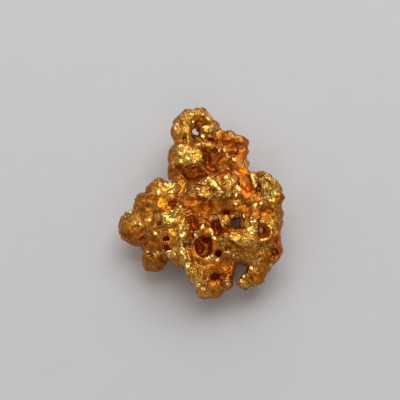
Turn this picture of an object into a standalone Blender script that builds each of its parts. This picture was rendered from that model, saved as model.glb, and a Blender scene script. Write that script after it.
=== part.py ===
"""Gold nugget: one natural piece of spongy native gold, lying on its worn underside.

Metres, +Z up, origin under the middle of the nugget, on the surface that it lies on.

The gold is built the way such a nugget reads: rounded lobes that have run together, ridges that
lie on them, then hollows eaten into them, a few right through. Every form is placed by what an
eye sees that looks down on the nugget along +Y: how far across, how far up the face, and how
high above the table. All of these are in millimetres.
"""
import math
import random

import bmesh
import bpy
from mathutils import Matrix, Vector, noise

MM = 0.001                        # everything is modelled in millimetres and shrunk at the end

# Driving dimensions
LOOK_DOWN = math.radians(64.0)    # slope of the sight line on which the face is drawn
VOXEL = 0.14                      # grain of the clay in which lobes and hollows are merged, mm
CRUMPLE_DEPTH = 0.13              # how far the skin wanders in and out, mm
CRUMPLE_LENGTH = 1.1              # size of one crumple, mm
HOLLOW_CRUMPLE_DEPTH = 0.16       # the same two for the walls of the hollows, mm
HOLLOW_CRUMPLE_LENGTH = 0.6
MOST_TRIANGLES = 9300

# Small pits, strewn over the sides and the underside; those of the face are placed one by one
PIT_COUNT = 110
PIT_RADII = (0.34, 0.72)          # smallest and largest, mm
PIT_SPACING = 0.95                # least distance between two pits, mm
PIT_SINK = 0.15                   # share of its radius that a pit's centre lies above the skin
PIT_FACING = 0.35                 # skin that looks more than this towards the eye stays free
PAD_HEIGHT = 0.55                 # and so does the skin below this height, mm
SEED = 11

SPHERE_STEPS = 3                  # subdivisions of the icosphere that each form starts from

# Lobes: across, up, height of the centre, radius, and the flattening of its height.
LOBES = {
    # the head, at the far end of the nugget
    "crown_left": (-1.00, 8.60, 4.3, 1.20, 1.0),
    "crown_right": (0.00, 8.75, 4.3, 1.12, 1.0),
    "brow": (0.40, 8.50, 4.3, 0.90, 1.0),
    "temple": (-1.58, 8.15, 4.4, 1.15, 1.0),
    "cheek": (-1.90, 7.40, 4.6, 1.13, 1.0),
    "jaw": (-1.65, 6.60, 4.6, 0.95, 1.0),
    "head_middle": (-0.20, 7.80, 4.1, 1.15, 1.0),
    "head_right": (1.30, 7.75, 4.3, 0.85, 1.0),
    "head_base": (0.60, 7.00, 4.2, 1.20, 1.0),
    # the shoulder on its left and the neck that carries it
    "shoulder": (-2.05, 5.00, 4.5, 1.28, 1.0),
    "shoulder_low": (-2.30, 3.35, 4.0, 1.10, 1.0),
    "knuckle": (-0.75, 4.75, 5.1, 1.05, 0.9),
    "armpit": (-1.90, 1.90, 3.9, 1.05, 1.0),
    "nape": (2.00, 6.70, 4.0, 0.95, 1.0),
    "collar": (-0.90, 5.80, 4.7, 1.00, 1.0),
    "neck_left": (-0.20, 4.60, 3.5, 1.70, 1.0),
    "neck_right": (2.60, 5.20, 3.5, 1.45, 1.0),
    "neck_front": (2.80, 3.90, 3.5, 1.60, 1.0),
    "neck_root": (0.80, 3.20, 3.3, 1.90, 1.0),
    # the bead-like rim down the right of the neck
    "rim_1": (3.00, 6.60, 4.3, 0.95, 1.0),
    "rim_2": (4.05, 6.15, 4.4, 0.92, 1.0),
    "rim_3": (4.10, 5.10, 4.4, 0.78, 1.0),
    "rim_4": (3.95, 4.10, 4.3, 0.95, 1.0),
    "rim_5": (4.10, 3.10, 4.2, 1.00, 1.0),
    # the upper body
    "body_left_top": (0.00, 1.50, 4.0, 1.70, 1.0),
    "body_top": (2.50, 1.60, 3.9, 1.90, 1.0),
    "body_middle": (1.50, -0.10, 3.3, 2.40, 1.0),
    "body_right": (4.10, 0.10, 3.5, 2.10, 1.0),
    "body_left": (-0.60, -0.10, 3.5, 2.00, 1.0),
    "notch_bead": (4.95, 2.50, 4.6, 0.75, 1.0),
    "flake_top": (6.40, 2.50, 4.7, 0.95, 1.0),
    "flake_middle": (7.10, 1.50, 4.7, 1.10, 1.0),
    "flake_end": (7.40, 0.40, 4.6, 0.95, 1.0),
    "flake_root": (6.00, 0.40, 3.9, 1.40, 1.0),
    # the right-hand side, down to the hook
    "side_1": (7.20, -1.70, 4.0, 1.10, 1.0),
    "side_2": (7.20, -3.10, 3.8, 1.00, 1.0),
    "side_3": (6.90, -4.50, 3.5, 1.35, 1.0),
    "inside_1": (5.50, -1.70, 3.8, 1.60, 1.0),
    "inside_2": (5.30, -3.40, 3.8, 1.60, 1.0),
    "inside_3": (4.80, -4.70, 3.7, 1.40, 1.0),
    "inside_4": (3.80, -3.60, 4.0, 1.50, 1.0),
    "hook_root": (6.15, -5.75, 3.1, 1.08, 1.0),
    "hook_bend": (5.50, -6.90, 2.8, 0.98, 1.0),
    "hook_tip": (4.40, -7.60, 2.4, 0.75, 1.0),
    "hook_heel": (5.00, -7.30, 2.5, 0.78, 1.0),
    # the left-hand side, with the ear and the foot
    "left_top": (-4.10, 1.35, 4.2, 1.28, 1.0),
    "left_edge": (-5.15, 0.00, 3.7, 1.40, 1.0),
    "left_middle": (-3.20, -0.20, 3.8, 1.60, 1.0),
    "left_front": (-3.00, -1.80, 3.7, 1.90, 1.0),
    "left_low": (-4.00, -2.70, 3.4, 1.60, 1.0),
    "left_arch": (-2.80, -3.50, 3.5, 1.85, 1.0),
    "arch_top": (-1.80, -5.15, 3.6, 1.05, 1.0),
    "ear": (-6.25, -2.30, 2.9, 1.95, 0.75),
    "ear_root": (-5.00, -2.00, 3.2, 1.50, 1.0),
    "foot_root": (-4.30, -4.10, 2.9, 1.35, 1.0),
    "foot": (-4.50, -5.35, 2.2, 1.35, 1.0),
    # the front, down to the tongue
    "front_left": (0.00, -3.00, 3.6, 1.80, 1.0),
    "front_middle": (1.60, -4.40, 3.4, 2.00, 1.0),
    "front_right": (3.00, -4.50, 3.6, 1.60, 1.0),
    "front_low": (0.10, -5.30, 3.3, 1.50, 1.0),
    "front_lip": (2.20, -6.10, 3.1, 1.50, 1.0),
    "tongue_root": (0.60, -6.60, 3.0, 1.25, 1.0),
    "tongue_left": (0.20, -7.00, 3.1, 1.10, 1.0),
    "tongue_tip": (0.65, -8.20, 2.7, 1.12, 1.0),
    "tongue_end": (1.45, -8.25, 2.6, 1.02, 1.0),
    "tongue_right": (2.40, -7.50, 2.7, 1.02, 1.0),
    # the underside, lumpy, and worn flat where it meets the table
    "under_neck": (1.10, 5.60, 2.60, 1.75, 0.9),
    "under_head": (-0.30, 7.10, 3.20, 1.40, 1.0),
    "under_shoulder": (-1.10, 2.20, 2.10, 1.80, 0.9),
    "under_flake": (5.20, 0.90, 2.40, 1.75, 0.9),
    "under_middle": (2.20, 0.90, 1.95, 2.10, 0.85),
    "under_pit": (0.60, -2.20, 1.80, 1.90, 0.85),
    "under_left": (-1.80, -3.40, 2.00, 1.70, 0.9),
    "under_right": (3.20, -2.30, 1.90, 1.60, 0.9),
    "under_side": (5.80, -4.60, 2.10, 1.30, 0.9),
    "under_foot": (-4.60, -3.50, 1.90, 1.50, 0.9),
    "pad_right": (5.00, -2.60, 1.30, 2.00, 0.80),
    "pad_left": (-3.70, -1.40, 1.30, 2.05, 0.80),
    "pad_back": (1.00, 3.60, 1.30, 1.95, 0.80),
    "pad_front": (1.10, -5.20, 1.25, 1.70, 0.85),
}

# Ridges: the radius, then the points that the crest runs through, each across, up and height.
RIDGES = {
    "wall_of_the_pit": (0.42, [(-1.3, -1.1, 5.2), (-1.7, -2.3, 5.2), (-1.75, -3.8, 4.9),
                               (-1.6, -5.1, 4.5), (-1.1, -6.2, 4.1), (-0.4, -7.1, 3.8)]),
    "crest": (0.28, [(0.1, 0.8, 5.7), (0.8, 0.7, 5.8), (1.6, 1.0, 5.9), (2.4, 1.4, 5.9)]),
    "short_crest": (0.26, [(0.6, 2.4, 5.6), (1.0, 2.9, 5.6)]),
    "cross_crest": (0.26, [(1.1, 2.2, 5.7), (1.9, 1.7, 5.8)]),
    "band": (0.50, [(2.3, -2.8, 5.5), (3.2, -3.1, 5.6), (4.2, -3.7, 5.4), (5.3, -3.9, 5.2)]),
    "lens": (0.42, [(0.4, 6.1, 5.3), (1.2, 5.9, 5.4), (1.9, 5.5, 5.2)]),
    "head_band": (0.34, [(-1.2, 7.9, 5.3), (-1.2, 6.6, 5.5), (-1.4, 5.6, 5.6)]),
    "bright_blade": (0.24, [(5.1, 2.9, 5.2), (5.35, 2.2, 5.4), (5.5, 1.5, 5.3)]),
    "eye_rim_top": (0.26, [(4.6, -1.5, 5.2), (5.3, -1.2, 5.2), (6.5, -1.5, 5.0), (7.1, -2.2, 4.7)]),
    "eye_rim_low": (0.26, [(7.1, -2.2, 4.7), (6.9, -3.1, 4.7), (6.2, -3.6, 4.8), (5.2, -3.4, 5.1)]),
    "pit_bridge": (0.26, [(0.9, -2.4, 5.2), (1.4, -3.2, 5.1), (1.9, -4.4, 5.0)]),
    "bowl_rim": (0.28, [(-0.8, -1.0, 5.3), (0.2, -1.4, 5.2), (0.3, -2.6, 5.0), (-0.6, -3.0, 5.0)]),
    "brow_of_pits": (0.28, [(1.2, -1.3, 5.4), (2.2, -1.6, 5.5), (3.0, -2.2, 5.4)]),
    "neck_ridge": (0.30, [(2.4, 2.4, 5.2), (3.2, 2.5, 5.3), (3.8, 1.9, 5.3)]),
    "hook_crest": (0.24, [(4.2, -6.9, 3.0), (4.9, -6.6, 3.4), (5.8, -6.3, 3.6)]),
    "left_crest": (0.30, [(-4.1, 1.9, 4.9), (-3.2, 1.9, 5.1), (-2.3, 1.6, 5.1)]),
    "arch_crest": (0.30, [(-3.4, -4.9, 4.1), (-2.7, -5.0, 4.3), (-2.0, -5.3, 4.3)]),
}
RIDGE_STEP = 0.30                 # spacing of the beads that a ridge is made of, mm

# Hollows: across, up, height of the centre, half width, half height, half depth, and the turn of
# its long side in degrees, anticlockwise as seen. They run square to the face.
HOLLOWS = {
    "great_pit": (0.40, -4.10, 4.9, 0.85, 1.05, 2.6, 0),
    "tall_pit": (1.65, -2.40, 5.0, 0.45, 0.68, 2.2, 15),
    "upper_pit": (2.50, -0.90, 5.3, 0.42, 0.46, 1.8, 0),
    "small_pit": (1.80, -4.80, 4.8, 0.38, 0.44, 2.0, 0),
    "tongue_pit": (1.50, -7.05, 4.0, 0.40, 0.36, 1.4, 0),
    "side_pit": (7.30, -4.60, 4.6, 0.46, 0.62, 1.4, 20),
    "flake_slot": (7.65, 0.70, 5.5, 0.22, 0.36, 1.0, 10),
    "crest_pit": (0.60, 0.40, 5.7, 0.30, 0.36, 1.2, 0),
    "orange_bowl": (-0.60, -1.90, 5.5, 0.62, 0.72, 1.0, 0),
    "left_pit": (-3.40, -3.30, 5.1, 0.36, 0.34, 1.5, 0),
    "left_slit": (-3.20, -4.35, 4.7, 0.62, 0.24, 1.2, 0),
    "recess_left": (1.30, 4.50, 5.5, 1.15, 1.30, 1.5, 0),
    "recess_right": (2.90, 5.60, 5.4, 0.95, 1.00, 1.4, 0),
    "recess_low": (2.40, 4.00, 5.5, 0.90, 0.90, 1.2, 0),
    "wide_bowl": (0.60, -0.25, 6.0, 1.00, 0.75, 1.6, -20),
    "side_channel": (4.70, 2.10, 5.6, 0.42, 0.95, 1.4, 0),
    "left_window": (-3.50, 0.40, 5.6, 0.48, 0.62, 1.4, 0),
    "eye_bowl": (6.20, -2.50, 5.4, 0.82, 0.82, 1.1, 0),
    "low_bowl": (2.70, -5.80, 5.0, 0.95, 0.80, 1.2, 20),
    "shoulder_bowl": (-0.50, 3.10, 5.7, 1.05, 0.62, 1.4, 0),
    "head_bowl": (0.20, 8.35, 5.4, 0.50, 0.42, 0.9, 0),
    "jaw_bowl": (-1.75, 6.65, 5.6, 0.32, 0.42, 0.7, 0),
    "bridge_bowl": (2.80, -4.30, 5.4, 0.55, 0.34, 1.0, 0),
    "right_bowl": (4.60, -0.30, 5.9, 0.90, 0.60, 1.1, -10),
    "mid_bowl": (3.90, 0.60, 6.0, 0.80, 0.55, 1.2, 20),
    "low_left_bowl": (-2.30, 0.20, 5.5, 0.75, 0.45, 0.9, 10),
    "foot_dimple": (-4.60, -5.95, 3.4, 0.40, 0.36, 0.6, 0),
    "ear_dimple": (-6.30, -2.20, 4.3, 0.42, 0.35, 0.5, 30),
    "gap_below_flake": (6.70, -0.55, 5.4, 0.95, 0.28, 1.2, -10),
    "gap_beside_flake": (5.80, 1.40, 5.7, 0.26, 0.90, 1.0, 15),
    # right through
    "head_hole": (-0.45, 7.42, 4.3, 0.40, 0.48, 4.0, 0),
    "grey_hole": (3.60, -1.80, 3.8, 0.50, 0.45, 6.0, 0),
    "eye_hole": (6.05, -2.45, 3.8, 0.33, 0.33, 6.0, 0),
    "notch_stem": (3.52, -7.60, 3.0, 0.28, 1.10, 5.0, -4),
    "notch_top": (4.20, -6.40, 3.0, 0.75, 0.36, 5.0, 8),
}


def seen(across, up, height):
    """The point that appears this far across and up the face, at this height."""
    back = (up - height * math.cos(LOOK_DOWN)) / math.sin(LOOK_DOWN)
    return Vector((across, back, height))


def add_ball(form, centre, radii, turn=Matrix.Identity(3)):
    """Adds an ellipsoid to the bmesh, made from a unit icosphere."""
    place = Matrix.Translation(centre) @ turn.to_4x4() @ Matrix.Diagonal((*radii, 1.0))
    bmesh.ops.create_icosphere(form, subdivisions=SPHERE_STEPS, radius=1.0, matrix=place)


def along(points, step):
    """Points on the line through the given ones, about a step apart."""
    for start, end in zip(points, points[1:]):
        pieces = max(1, round((end - start).length / step))
        for k in range(pieces):
            yield start.lerp(end, k / pieces)
    yield points[-1]


def object_of(form, name, collection):
    mesh = bpy.data.meshes.new(name)
    form.to_mesh(mesh)
    form.free()
    made = bpy.data.objects.new(name, mesh)
    collection.objects.link(made)
    return made


def lobes_and_ridges(collection):
    form = bmesh.new()
    for across, up, height, radius, flat in LOBES.values():
        add_ball(form, seen(across, up, height), (radius, radius, radius * flat))
    for radius, route in RIDGES.values():
        for centre in along([seen(*point) for point in route], RIDGE_STEP):
            add_ball(form, centre, (radius, radius, radius))
    return object_of(form, "nugget", collection)


def strewn_pits(form, skin):
    """Adds flattened balls at random places on the skin, no two of them close together."""
    chance = random.Random(SEED)
    to_eye = Vector((0.0, -math.cos(LOOK_DOWN), math.sin(LOOK_DOWN)))
    places = []
    while len(places) < PIT_COUNT:
        face = skin.polygons[chance.randrange(len(skin.polygons))]
        if face.center.z < PAD_HEIGHT or face.normal.dot(to_eye) > PIT_FACING:
            continue
        if any((face.center - other).length < PIT_SPACING for other in places):
            continue
        places.append(face.center.copy())
        radius = chance.uniform(*PIT_RADII)
        radii = (radius * chance.uniform(0.7, 1.25), radius, radius)
        turn = face.normal.to_track_quat("Z", "Y").to_matrix()
        turn = turn @ Matrix.Rotation(chance.uniform(0.0, math.pi), 3, "Z")
        add_ball(form, face.center + face.normal * radius * PIT_SINK, radii, turn)


def hollows(collection, skin):
    """One cutter for all hollows and pits, merged, because their balls overlap."""
    form = bmesh.new()
    strewn_pits(form, skin)
    lean = Matrix.Rotation(LOOK_DOWN - math.pi / 2, 3, "X")
    for across, up, height, wide, tall, deep, turn in HOLLOWS.values():
        turned = lean.inverted() @ Matrix.Rotation(math.radians(turn), 3, "Z")
        add_ball(form, seen(across, up, height), (wide, tall, deep), turned)
    cutter = object_of(form, "hollows", collection)
    remesh(cutter)
    crumple(cutter, HOLLOW_CRUMPLE_DEPTH, HOLLOW_CRUMPLE_LENGTH)
    remesh(cutter)
    return cutter


def bake(made):
    """Replaces the object's mesh by what its modifiers make of it."""
    graph = bpy.context.evaluated_depsgraph_get()
    mesh = bpy.data.meshes.new_from_object(made.evaluated_get(graph))
    old = made.data
    made.modifiers.clear()
    made.data = mesh
    bpy.data.meshes.remove(old)


def remesh(made):
    skin = made.modifiers.new("merge", "REMESH")
    skin.mode = "VOXEL"
    skin.voxel_size = VOXEL
    bake(made)


def soften(made, repeat):
    smooth = made.modifiers.new("soften", "SMOOTH")
    smooth.factor = 0.5
    smooth.iterations = repeat
    bake(made)


def crumple(made, depth, length):
    """Moves the skin in and out by a noise, as hammered and tumbled gold does."""
    form = bmesh.new()
    form.from_mesh(made.data)
    form.normal_update()
    for corner in form.verts:
        push = noise.fractal(corner.co / length, 1.0, 2.0, 2) * depth
        corner.co += corner.normal * push
    form.to_mesh(made.data)
    form.free()


def cut(made, cutter):
    difference = made.modifiers.new("cut", "BOOLEAN")
    difference.operation = "DIFFERENCE"
    difference.object = cutter
    bake(made)
    bpy.data.objects.remove(cutter)


def keep_largest(made):
    """Removes crumbs that the hollows have cut loose."""
    form = bmesh.new()
    form.from_mesh(made.data)
    left = set(form.verts)
    groups = []
    while left:
        edge = [left.pop()]
        group = []
        while edge:
            corner = edge.pop()
            group.append(corner)
            for link in corner.link_edges:
                other = link.other_vert(corner)
                if other in left:
                    left.remove(other)
                    edge.append(other)
        groups.append(group)
    groups.sort(key=len)
    for group in groups[:-1]:
        bmesh.ops.delete(form, geom=group, context="VERTS")
    form.to_mesh(made.data)
    form.free()


def thin_out(made):
    """Cuts the number of triangles and keeps the shape."""
    made.data.calc_loop_triangles()
    fewer = made.modifiers.new("thin_out", "DECIMATE")
    fewer.ratio = min(1.0, MOST_TRIANGLES / len(made.data.loop_triangles))
    fewer.use_collapse_triangulate = True
    bake(made)


def wear_flat(made):
    """Cuts the pads of the underside off flat at the table."""
    form = bmesh.new()
    form.from_mesh(made.data)
    everything = form.verts[:] + form.edges[:] + form.faces[:]
    cut_line = bmesh.ops.bisect_plane(form, geom=everything, dist=1e-4, plane_co=(0, 0, 0),
                                      plane_no=(0, 0, -1), clear_outer=True)["geom_cut"]
    rim = [e for e in cut_line if isinstance(e, bmesh.types.BMEdge)]
    bmesh.ops.holes_fill(form, edges=rim)
    bmesh.ops.triangulate(form, faces=form.faces[:])
    bmesh.ops.recalc_face_normals(form, faces=form.faces[:])
    form.to_mesh(made.data)
    form.free()


def stand_on_origin(made):
    """Shrinks the nugget to metres and puts the origin under the middle of its box."""
    made.data.transform(Matrix.Scale(MM, 4))
    corners = [Vector(corner) for corner in made.bound_box]
    low = Vector(min(c[k] for c in corners) for k in range(3))
    high = Vector(max(c[k] for c in corners) for k in range(3))
    made.location = -Vector(((low.x + high.x) / 2, (low.y + high.y) / 2, low.z))


def native_gold():
    gold = bpy.data.materials.new("native_gold")
    gold.use_nodes = True
    shader = gold.node_tree.nodes["Principled BSDF"]
    shader.inputs["Base Color"].default_value = (0.78, 0.44, 0.09, 1.0)
    shader.inputs["Metallic"].default_value = 1.0
    shader.inputs["Roughness"].default_value = 0.32
    return gold


def main():
    for old in list(bpy.data.objects):
        bpy.data.objects.remove(old)
    piece = bpy.data.collections.new("gold_nugget")
    bpy.context.scene.collection.children.link(piece)

    nugget = lobes_and_ridges(piece)
    remesh(nugget)
    soften(nugget, 3)
    crumple(nugget, CRUMPLE_DEPTH, CRUMPLE_LENGTH)
    remesh(nugget)
    keep_largest(nugget)
    cut(nugget, hollows(piece, nugget.data))
    remesh(nugget)
    soften(nugget, 1)
    keep_largest(nugget)
    thin_out(nugget)
    wear_flat(nugget)
    nugget.data.materials.append(native_gold())
    nugget.data.shade_smooth()
    stand_on_origin(nugget)


main()
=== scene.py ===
# %% [markdown]
# # A gold nugget
#
# A nugget of native gold, as long as a thumbnail: a spongy lump of grown-together crystals that
# a river has rolled smooth on its high spots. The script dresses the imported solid: it carves a
# finer skin from it, gives it a native gold material, and lights it on pale paper.

import math
import random
import time

import bmesh
import bpy
from mathutils import Matrix, Quaternion, Vector, noise
from mathutils.bvhtree import BVHTree
from mathutils.kdtree import KDTree


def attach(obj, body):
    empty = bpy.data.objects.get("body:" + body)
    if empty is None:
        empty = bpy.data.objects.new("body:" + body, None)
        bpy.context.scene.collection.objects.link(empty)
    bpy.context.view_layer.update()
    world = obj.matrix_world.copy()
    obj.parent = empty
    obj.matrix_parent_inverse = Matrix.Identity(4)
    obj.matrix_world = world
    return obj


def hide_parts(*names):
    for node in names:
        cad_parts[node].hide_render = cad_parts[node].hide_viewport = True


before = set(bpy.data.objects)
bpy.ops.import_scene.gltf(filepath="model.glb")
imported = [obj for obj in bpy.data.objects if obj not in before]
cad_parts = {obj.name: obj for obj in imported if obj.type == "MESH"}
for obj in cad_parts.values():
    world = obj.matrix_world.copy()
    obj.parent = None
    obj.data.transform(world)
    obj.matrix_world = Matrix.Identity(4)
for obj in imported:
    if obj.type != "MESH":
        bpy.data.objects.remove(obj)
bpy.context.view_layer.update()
MM = 0.001
NOISE_SEED = 2
noise.seed_set(NOISE_SEED)                  # without it noise_vector takes its offsets from the clock
started = time.time()

# %% [markdown]
# ## Where things are
#
# The nugget is looked at from the front and well above, so every detail is placed by what that
# eye sees: how many millimetres across, and how many up. A ray from the eye through that spot
# finds the skin, so a detail always lands on the gold, whatever its height. The other way would be
# to type three coordinates for each detail, and to type them again whenever the lump changes.
#
# All the carving is done in millimetres, and the finished skin is shrunk to metres at the end,
# because Blender's Boolean and remesh are happier with numbers near one.

# %% The sight line
LOOK_DOWN = math.radians(64.0)
FACE_ZERO = Vector((-0.05, 1.42, 0.0))      # where across = up = 0 meets the table, mm
TO_EYE = Vector((0.0, -math.cos(LOOK_DOWN), math.sin(LOOK_DOWN)))
FACE_UP = Vector((0.0, math.sin(LOOK_DOWN), math.cos(LOOK_DOWN)))
TO_WINDOW = Vector((0.55, 0.55, 0.80)).normalized()
MIRROR_TILT = (TO_EYE + TO_WINDOW).normalized()   # a face with this lean flashes
FAR = 60.0                                  # farther from the table than any gold, mm
MID_HEIGHT = 3.0                            # about half-way up the gold, mm
print("mirror faces lean to", [round(v, 2) for v in MIRROR_TILT])


# %% Spots as the eye sees them
def on_table(across, up):
    """The point of the table seen at this spot."""
    return FACE_ZERO + Vector((across, up / math.sin(LOOK_DOWN), 0.0))


def at_height(across, up, height):
    """The point seen at this spot that lies this high above the table."""
    return on_table(across, up) + TO_EYE * (height / math.sin(LOOK_DOWN))


def skin_at(tree, across, up):
    """The point of the skin seen at this spot, and its normal."""
    place, normal, _, _ = tree.ray_cast(on_table(across, up) + TO_EYE * FAR, -TO_EYE)
    if place is None:
        return at_height(across, up, MID_HEIGHT), TO_EYE.copy()
    return place, normal


def faces_eye(normal):
    """Whether the eye sees this bit of skin, and not at a grazing angle."""
    return normal.dot(TO_EYE) > 0.2


# %% Meshes in and out
def object_of(form, name):
    mesh = bpy.data.meshes.new(name)
    form.to_mesh(mesh)
    form.free()
    made = bpy.data.objects.new(name, mesh)
    bpy.context.scene.collection.objects.link(made)
    return made


def form_of(made):
    form = bmesh.new()
    form.from_mesh(made.data)
    form.normal_update()
    return form


def put_back(form, made):
    form.to_mesh(made.data)
    form.free()


def merge_in(made, form):
    """Adds the bmesh's shapes to the object's mesh."""
    form.from_mesh(made.data)
    put_back(form, made)


def tree_of(made):
    form = form_of(made)
    tree = BVHTree.FromBMesh(form)
    form.free()
    return tree


# %% Voxel clay
def bake(made):
    """Replaces the mesh by what the object's modifiers make of it."""
    graph = bpy.context.evaluated_depsgraph_get()
    mesh = bpy.data.meshes.new_from_object(made.evaluated_get(graph))
    old = made.data
    made.modifiers.clear()
    made.data = mesh
    bpy.data.meshes.remove(old)


def remesh(made, grain):
    skin = made.modifiers.new("remesh", "REMESH")
    skin.mode = "VOXEL"
    skin.voxel_size = grain
    bake(made)


def soften(made, times):
    smooth = made.modifiers.new("soften", "SMOOTH")
    smooth.factor = 0.5
    smooth.iterations = times
    bake(made)


def report(step, made):
    print(f"{step}: {len(made.data.vertices)} points, {time.time() - started:.0f} s")


# %% Balls and slabs
def frame_from(normal, turn_degrees=0.0):
    """Axes of a detail: z along the normal, y up the face, turned about z."""
    across = FACE_UP.cross(normal).normalized()
    axes = Matrix((across, normal.cross(across), normal)).transposed()
    return axes @ Matrix.Rotation(math.radians(turn_degrees), 3, "Z")


def placed(centre, halves, axes):
    return Matrix.Translation(centre) @ axes.to_4x4() @ Matrix.Diagonal((*halves, 1.0))


def add_ball(form, centre, radii, axes=Matrix.Identity(3), steps=2):
    bmesh.ops.create_icosphere(form, subdivisions=steps, radius=1.0,
                               matrix=placed(centre, radii, axes))


def add_slab(form, centre, halves, axes):
    """A flat plate, its edges rounded by most of its half thickness."""
    made = bmesh.ops.create_cube(form, size=2.0, matrix=placed(centre, halves, axes))
    edges = dict.fromkeys(edge for corner in made["verts"] for edge in corner.link_edges)
    bmesh.ops.bevel(form, geom=list(edges), offset=0.7 * min(halves), segments=2, profile=0.5,
                    affect="EDGES", material=-1)


# %% [markdown]
# ## The clay
#
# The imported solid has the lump's lobes, pits and holes, but it is faceted. It could be smoothed
# with Subdivision Surface, which would keep its long thin triangles. A copy is turned to voxel
# clay instead, because clay with an even grain can be carved anywhere.

# %% A soft copy of the solid
CLAY_GRAIN = 0.12                           # mm
form = form_of(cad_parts["nugget"])
bmesh.ops.remove_doubles(form, verts=form.verts[:], dist=1e-7)
bmesh.ops.scale(form, vec=(1 / MM,) * 3, verts=form.verts[:])
gold = object_of(form, "gold_skin")
remesh(gold, CLAY_GRAIN)
soften(gold, 3)
report("clay", gold)

# %% [markdown]
# ## Floors and knobs
#
# The solid's hollows are simple and deep. In the real sponge most of them are floored by the next
# lobe down, so balls of clay raise their floors before finer pits go in. A few more knobs stand
# along the outline. Sculpting would do both, but a table of places can be read and changed.

# %% Raised floors
# across, up, height of the new floor, half width, half height
FLOORS = {
    "great_pit": (0.45, -4.10, 3.80, 1.25, 1.30),
    "great_pit_wall": (1.35, -3.95, 4.55, 0.40, 0.60),
    "tall_pit": (1.65, -2.40, 4.00, 0.60, 0.80),
    "bridge": (2.60, -2.05, 5.15, 0.50, 0.80),
    "bridge_top": (2.90, -1.35, 4.85, 0.80, 0.30),
    "channel": (4.60, 1.95, 4.98, 0.50, 1.05),
    "window": (-3.50, 0.35, 4.95, 0.50, 0.65),
    "under_slab": (-0.50, 3.20, 4.55, 1.10, 0.70),
    "beside_slab": (1.30, 4.40, 4.90, 1.05, 1.20),
    "brown_recess": (2.80, 5.50, 4.70, 0.95, 0.90),
    "beside_flake": (6.20, 1.20, 4.95, 0.35, 0.80),
    "eye": (6.55, -2.60, 4.55, 0.45, 0.60),
}
FLOOR_DEEP = 0.8                            # half thickness of the clay under a floor, mm
FLOOR_SPREAD = 1.3                          # the ball under a floor is wider than the floor
form = bmesh.new()
for across, up, height, wide, tall in FLOORS.values():
    centre = at_height(across, up, height) - TO_EYE * FLOOR_DEEP
    add_ball(form, centre, (wide * FLOOR_SPREAD, tall * FLOOR_SPREAD, FLOOR_DEEP),
             frame_from(TO_EYE), 3)
print(len(FLOORS), "floors")

# %% Knobs along the outline
# across, up, height above the table, radius
KNOBS = {
    "under_flake": (7.50, -0.80, 4.00, 0.80),
    "brow": (3.00, 7.00, 4.60, 0.62),
    "corner": (4.30, 6.30, 4.40, 0.60),
    "corner_low": (4.45, 5.40, 4.40, 0.50),
    "neck": (4.55, 4.10, 4.30, 0.45),
    "hook_tip": (4.05, -7.60, 3.60, 0.45),
    "tongue_side": (2.60, -7.60, 3.60, 0.55),
    "foot_side": (-4.20, -5.10, 3.60, 0.50),
}
for across, up, height, radius in KNOBS.values():
    add_ball(form, at_height(across, up, height), (radius,) * 3, steps=3)
merge_in(gold, form)
remesh(gold, CLAY_GRAIN)
soften(gold, 1)
report("floors and knobs", gold)

# %% [markdown]
# ## Plates
#
# Some lobes of the sponge have been hammered flat: a square slab on the cheek of the head, a leaf
# beside it, and a large flake at the right shoulder. Each is a bevelled slab laid half into the
# skin. A ball would do for a knob, but a plate needs its straight edges. A few small plates lean
# to where they flash, and are the brightest spots of all.

# %% Lay the plates
# across, up, half width, half height, half thickness, turn, how far above the skin,
# and how far it leans to where it would flash: 0 lies as the skin does, 1 flashes
PLATES = {
    "cheek_slab": (-1.05, 4.75, 1.30, 0.92, 0.35, -4, 0.22, 0.4),
    "cheek_fold": (-1.55, 5.65, 0.75, 0.35, 0.25, -15, 0.12, 0.4),
    "leaf": (1.10, 5.80, 1.10, 0.40, 0.22, -28, 0.26, 0.7),
    "bright_plate": (-2.70, -1.25, 1.10, 0.80, 0.25, 20, 0.06, 0.1),
    "window_plate": (-3.00, 1.55, 0.95, 0.50, 0.25, 15, 0.08, 0.3),
    "band_plate": (4.10, -3.40, 1.40, 0.48, 0.25, -20, 0.08, 0.0),
    "flake_plate": (6.90, 1.50, 0.85, 1.60, 0.25, 32, 0.05, 0.1),
    "ear_plate": (-4.80, 0.90, 0.60, 0.40, 0.20, 30, 0.05, 0.0),
    "tongue_plate": (-0.30, -7.30, 0.55, 0.90, 0.22, 30, 0.06, 0.2),
    "blade": (5.35, 2.35, 0.20, 0.85, 0.16, 10, 0.16, 1.0),
    "left_mirror": (-2.90, -4.75, 0.55, 0.34, 0.22, -15, 0.18, 1.0),
    "ridge_mirror": (-1.72, -4.95, 0.30, 0.72, 0.20, 5, 0.16, 1.0),
    "ridge_mirror_top": (-1.70, -2.60, 0.26, 0.60, 0.18, -5, 0.16, 1.0),
    "curl_mirror": (1.45, 2.15, 0.24, 0.38, 0.15, 10, 0.12, 1.0),
    "bowl_mirror": (1.70, 0.85, 0.50, 0.16, 0.14, 20, 0.12, 1.0),
    "pit_mirror": (1.95, -1.50, 0.42, 0.16, 0.14, -25, 0.12, 1.0),
    "eye_mirror": (5.25, -1.60, 0.32, 0.28, 0.16, 0, 0.12, 1.0),
}
EVEN_OUT = 1.5                              # how much the sight line counts against the skin's lean
tree = tree_of(gold)
form = bmesh.new()
for across, up, wide, tall, thick, turn, lift, lean in PLATES.values():
    place, normal = skin_at(tree, across, up)
    facing = (normal + TO_EYE * EVEN_OUT).normalized().lerp(MIRROR_TILT, lean).normalized()
    axes = frame_from(facing, turn)
    add_slab(form, place + facing * (lift - thick * 0.5), (wide, tall, thick), axes)
merge_in(gold, form)
print(len(PLATES), "plates")

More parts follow.
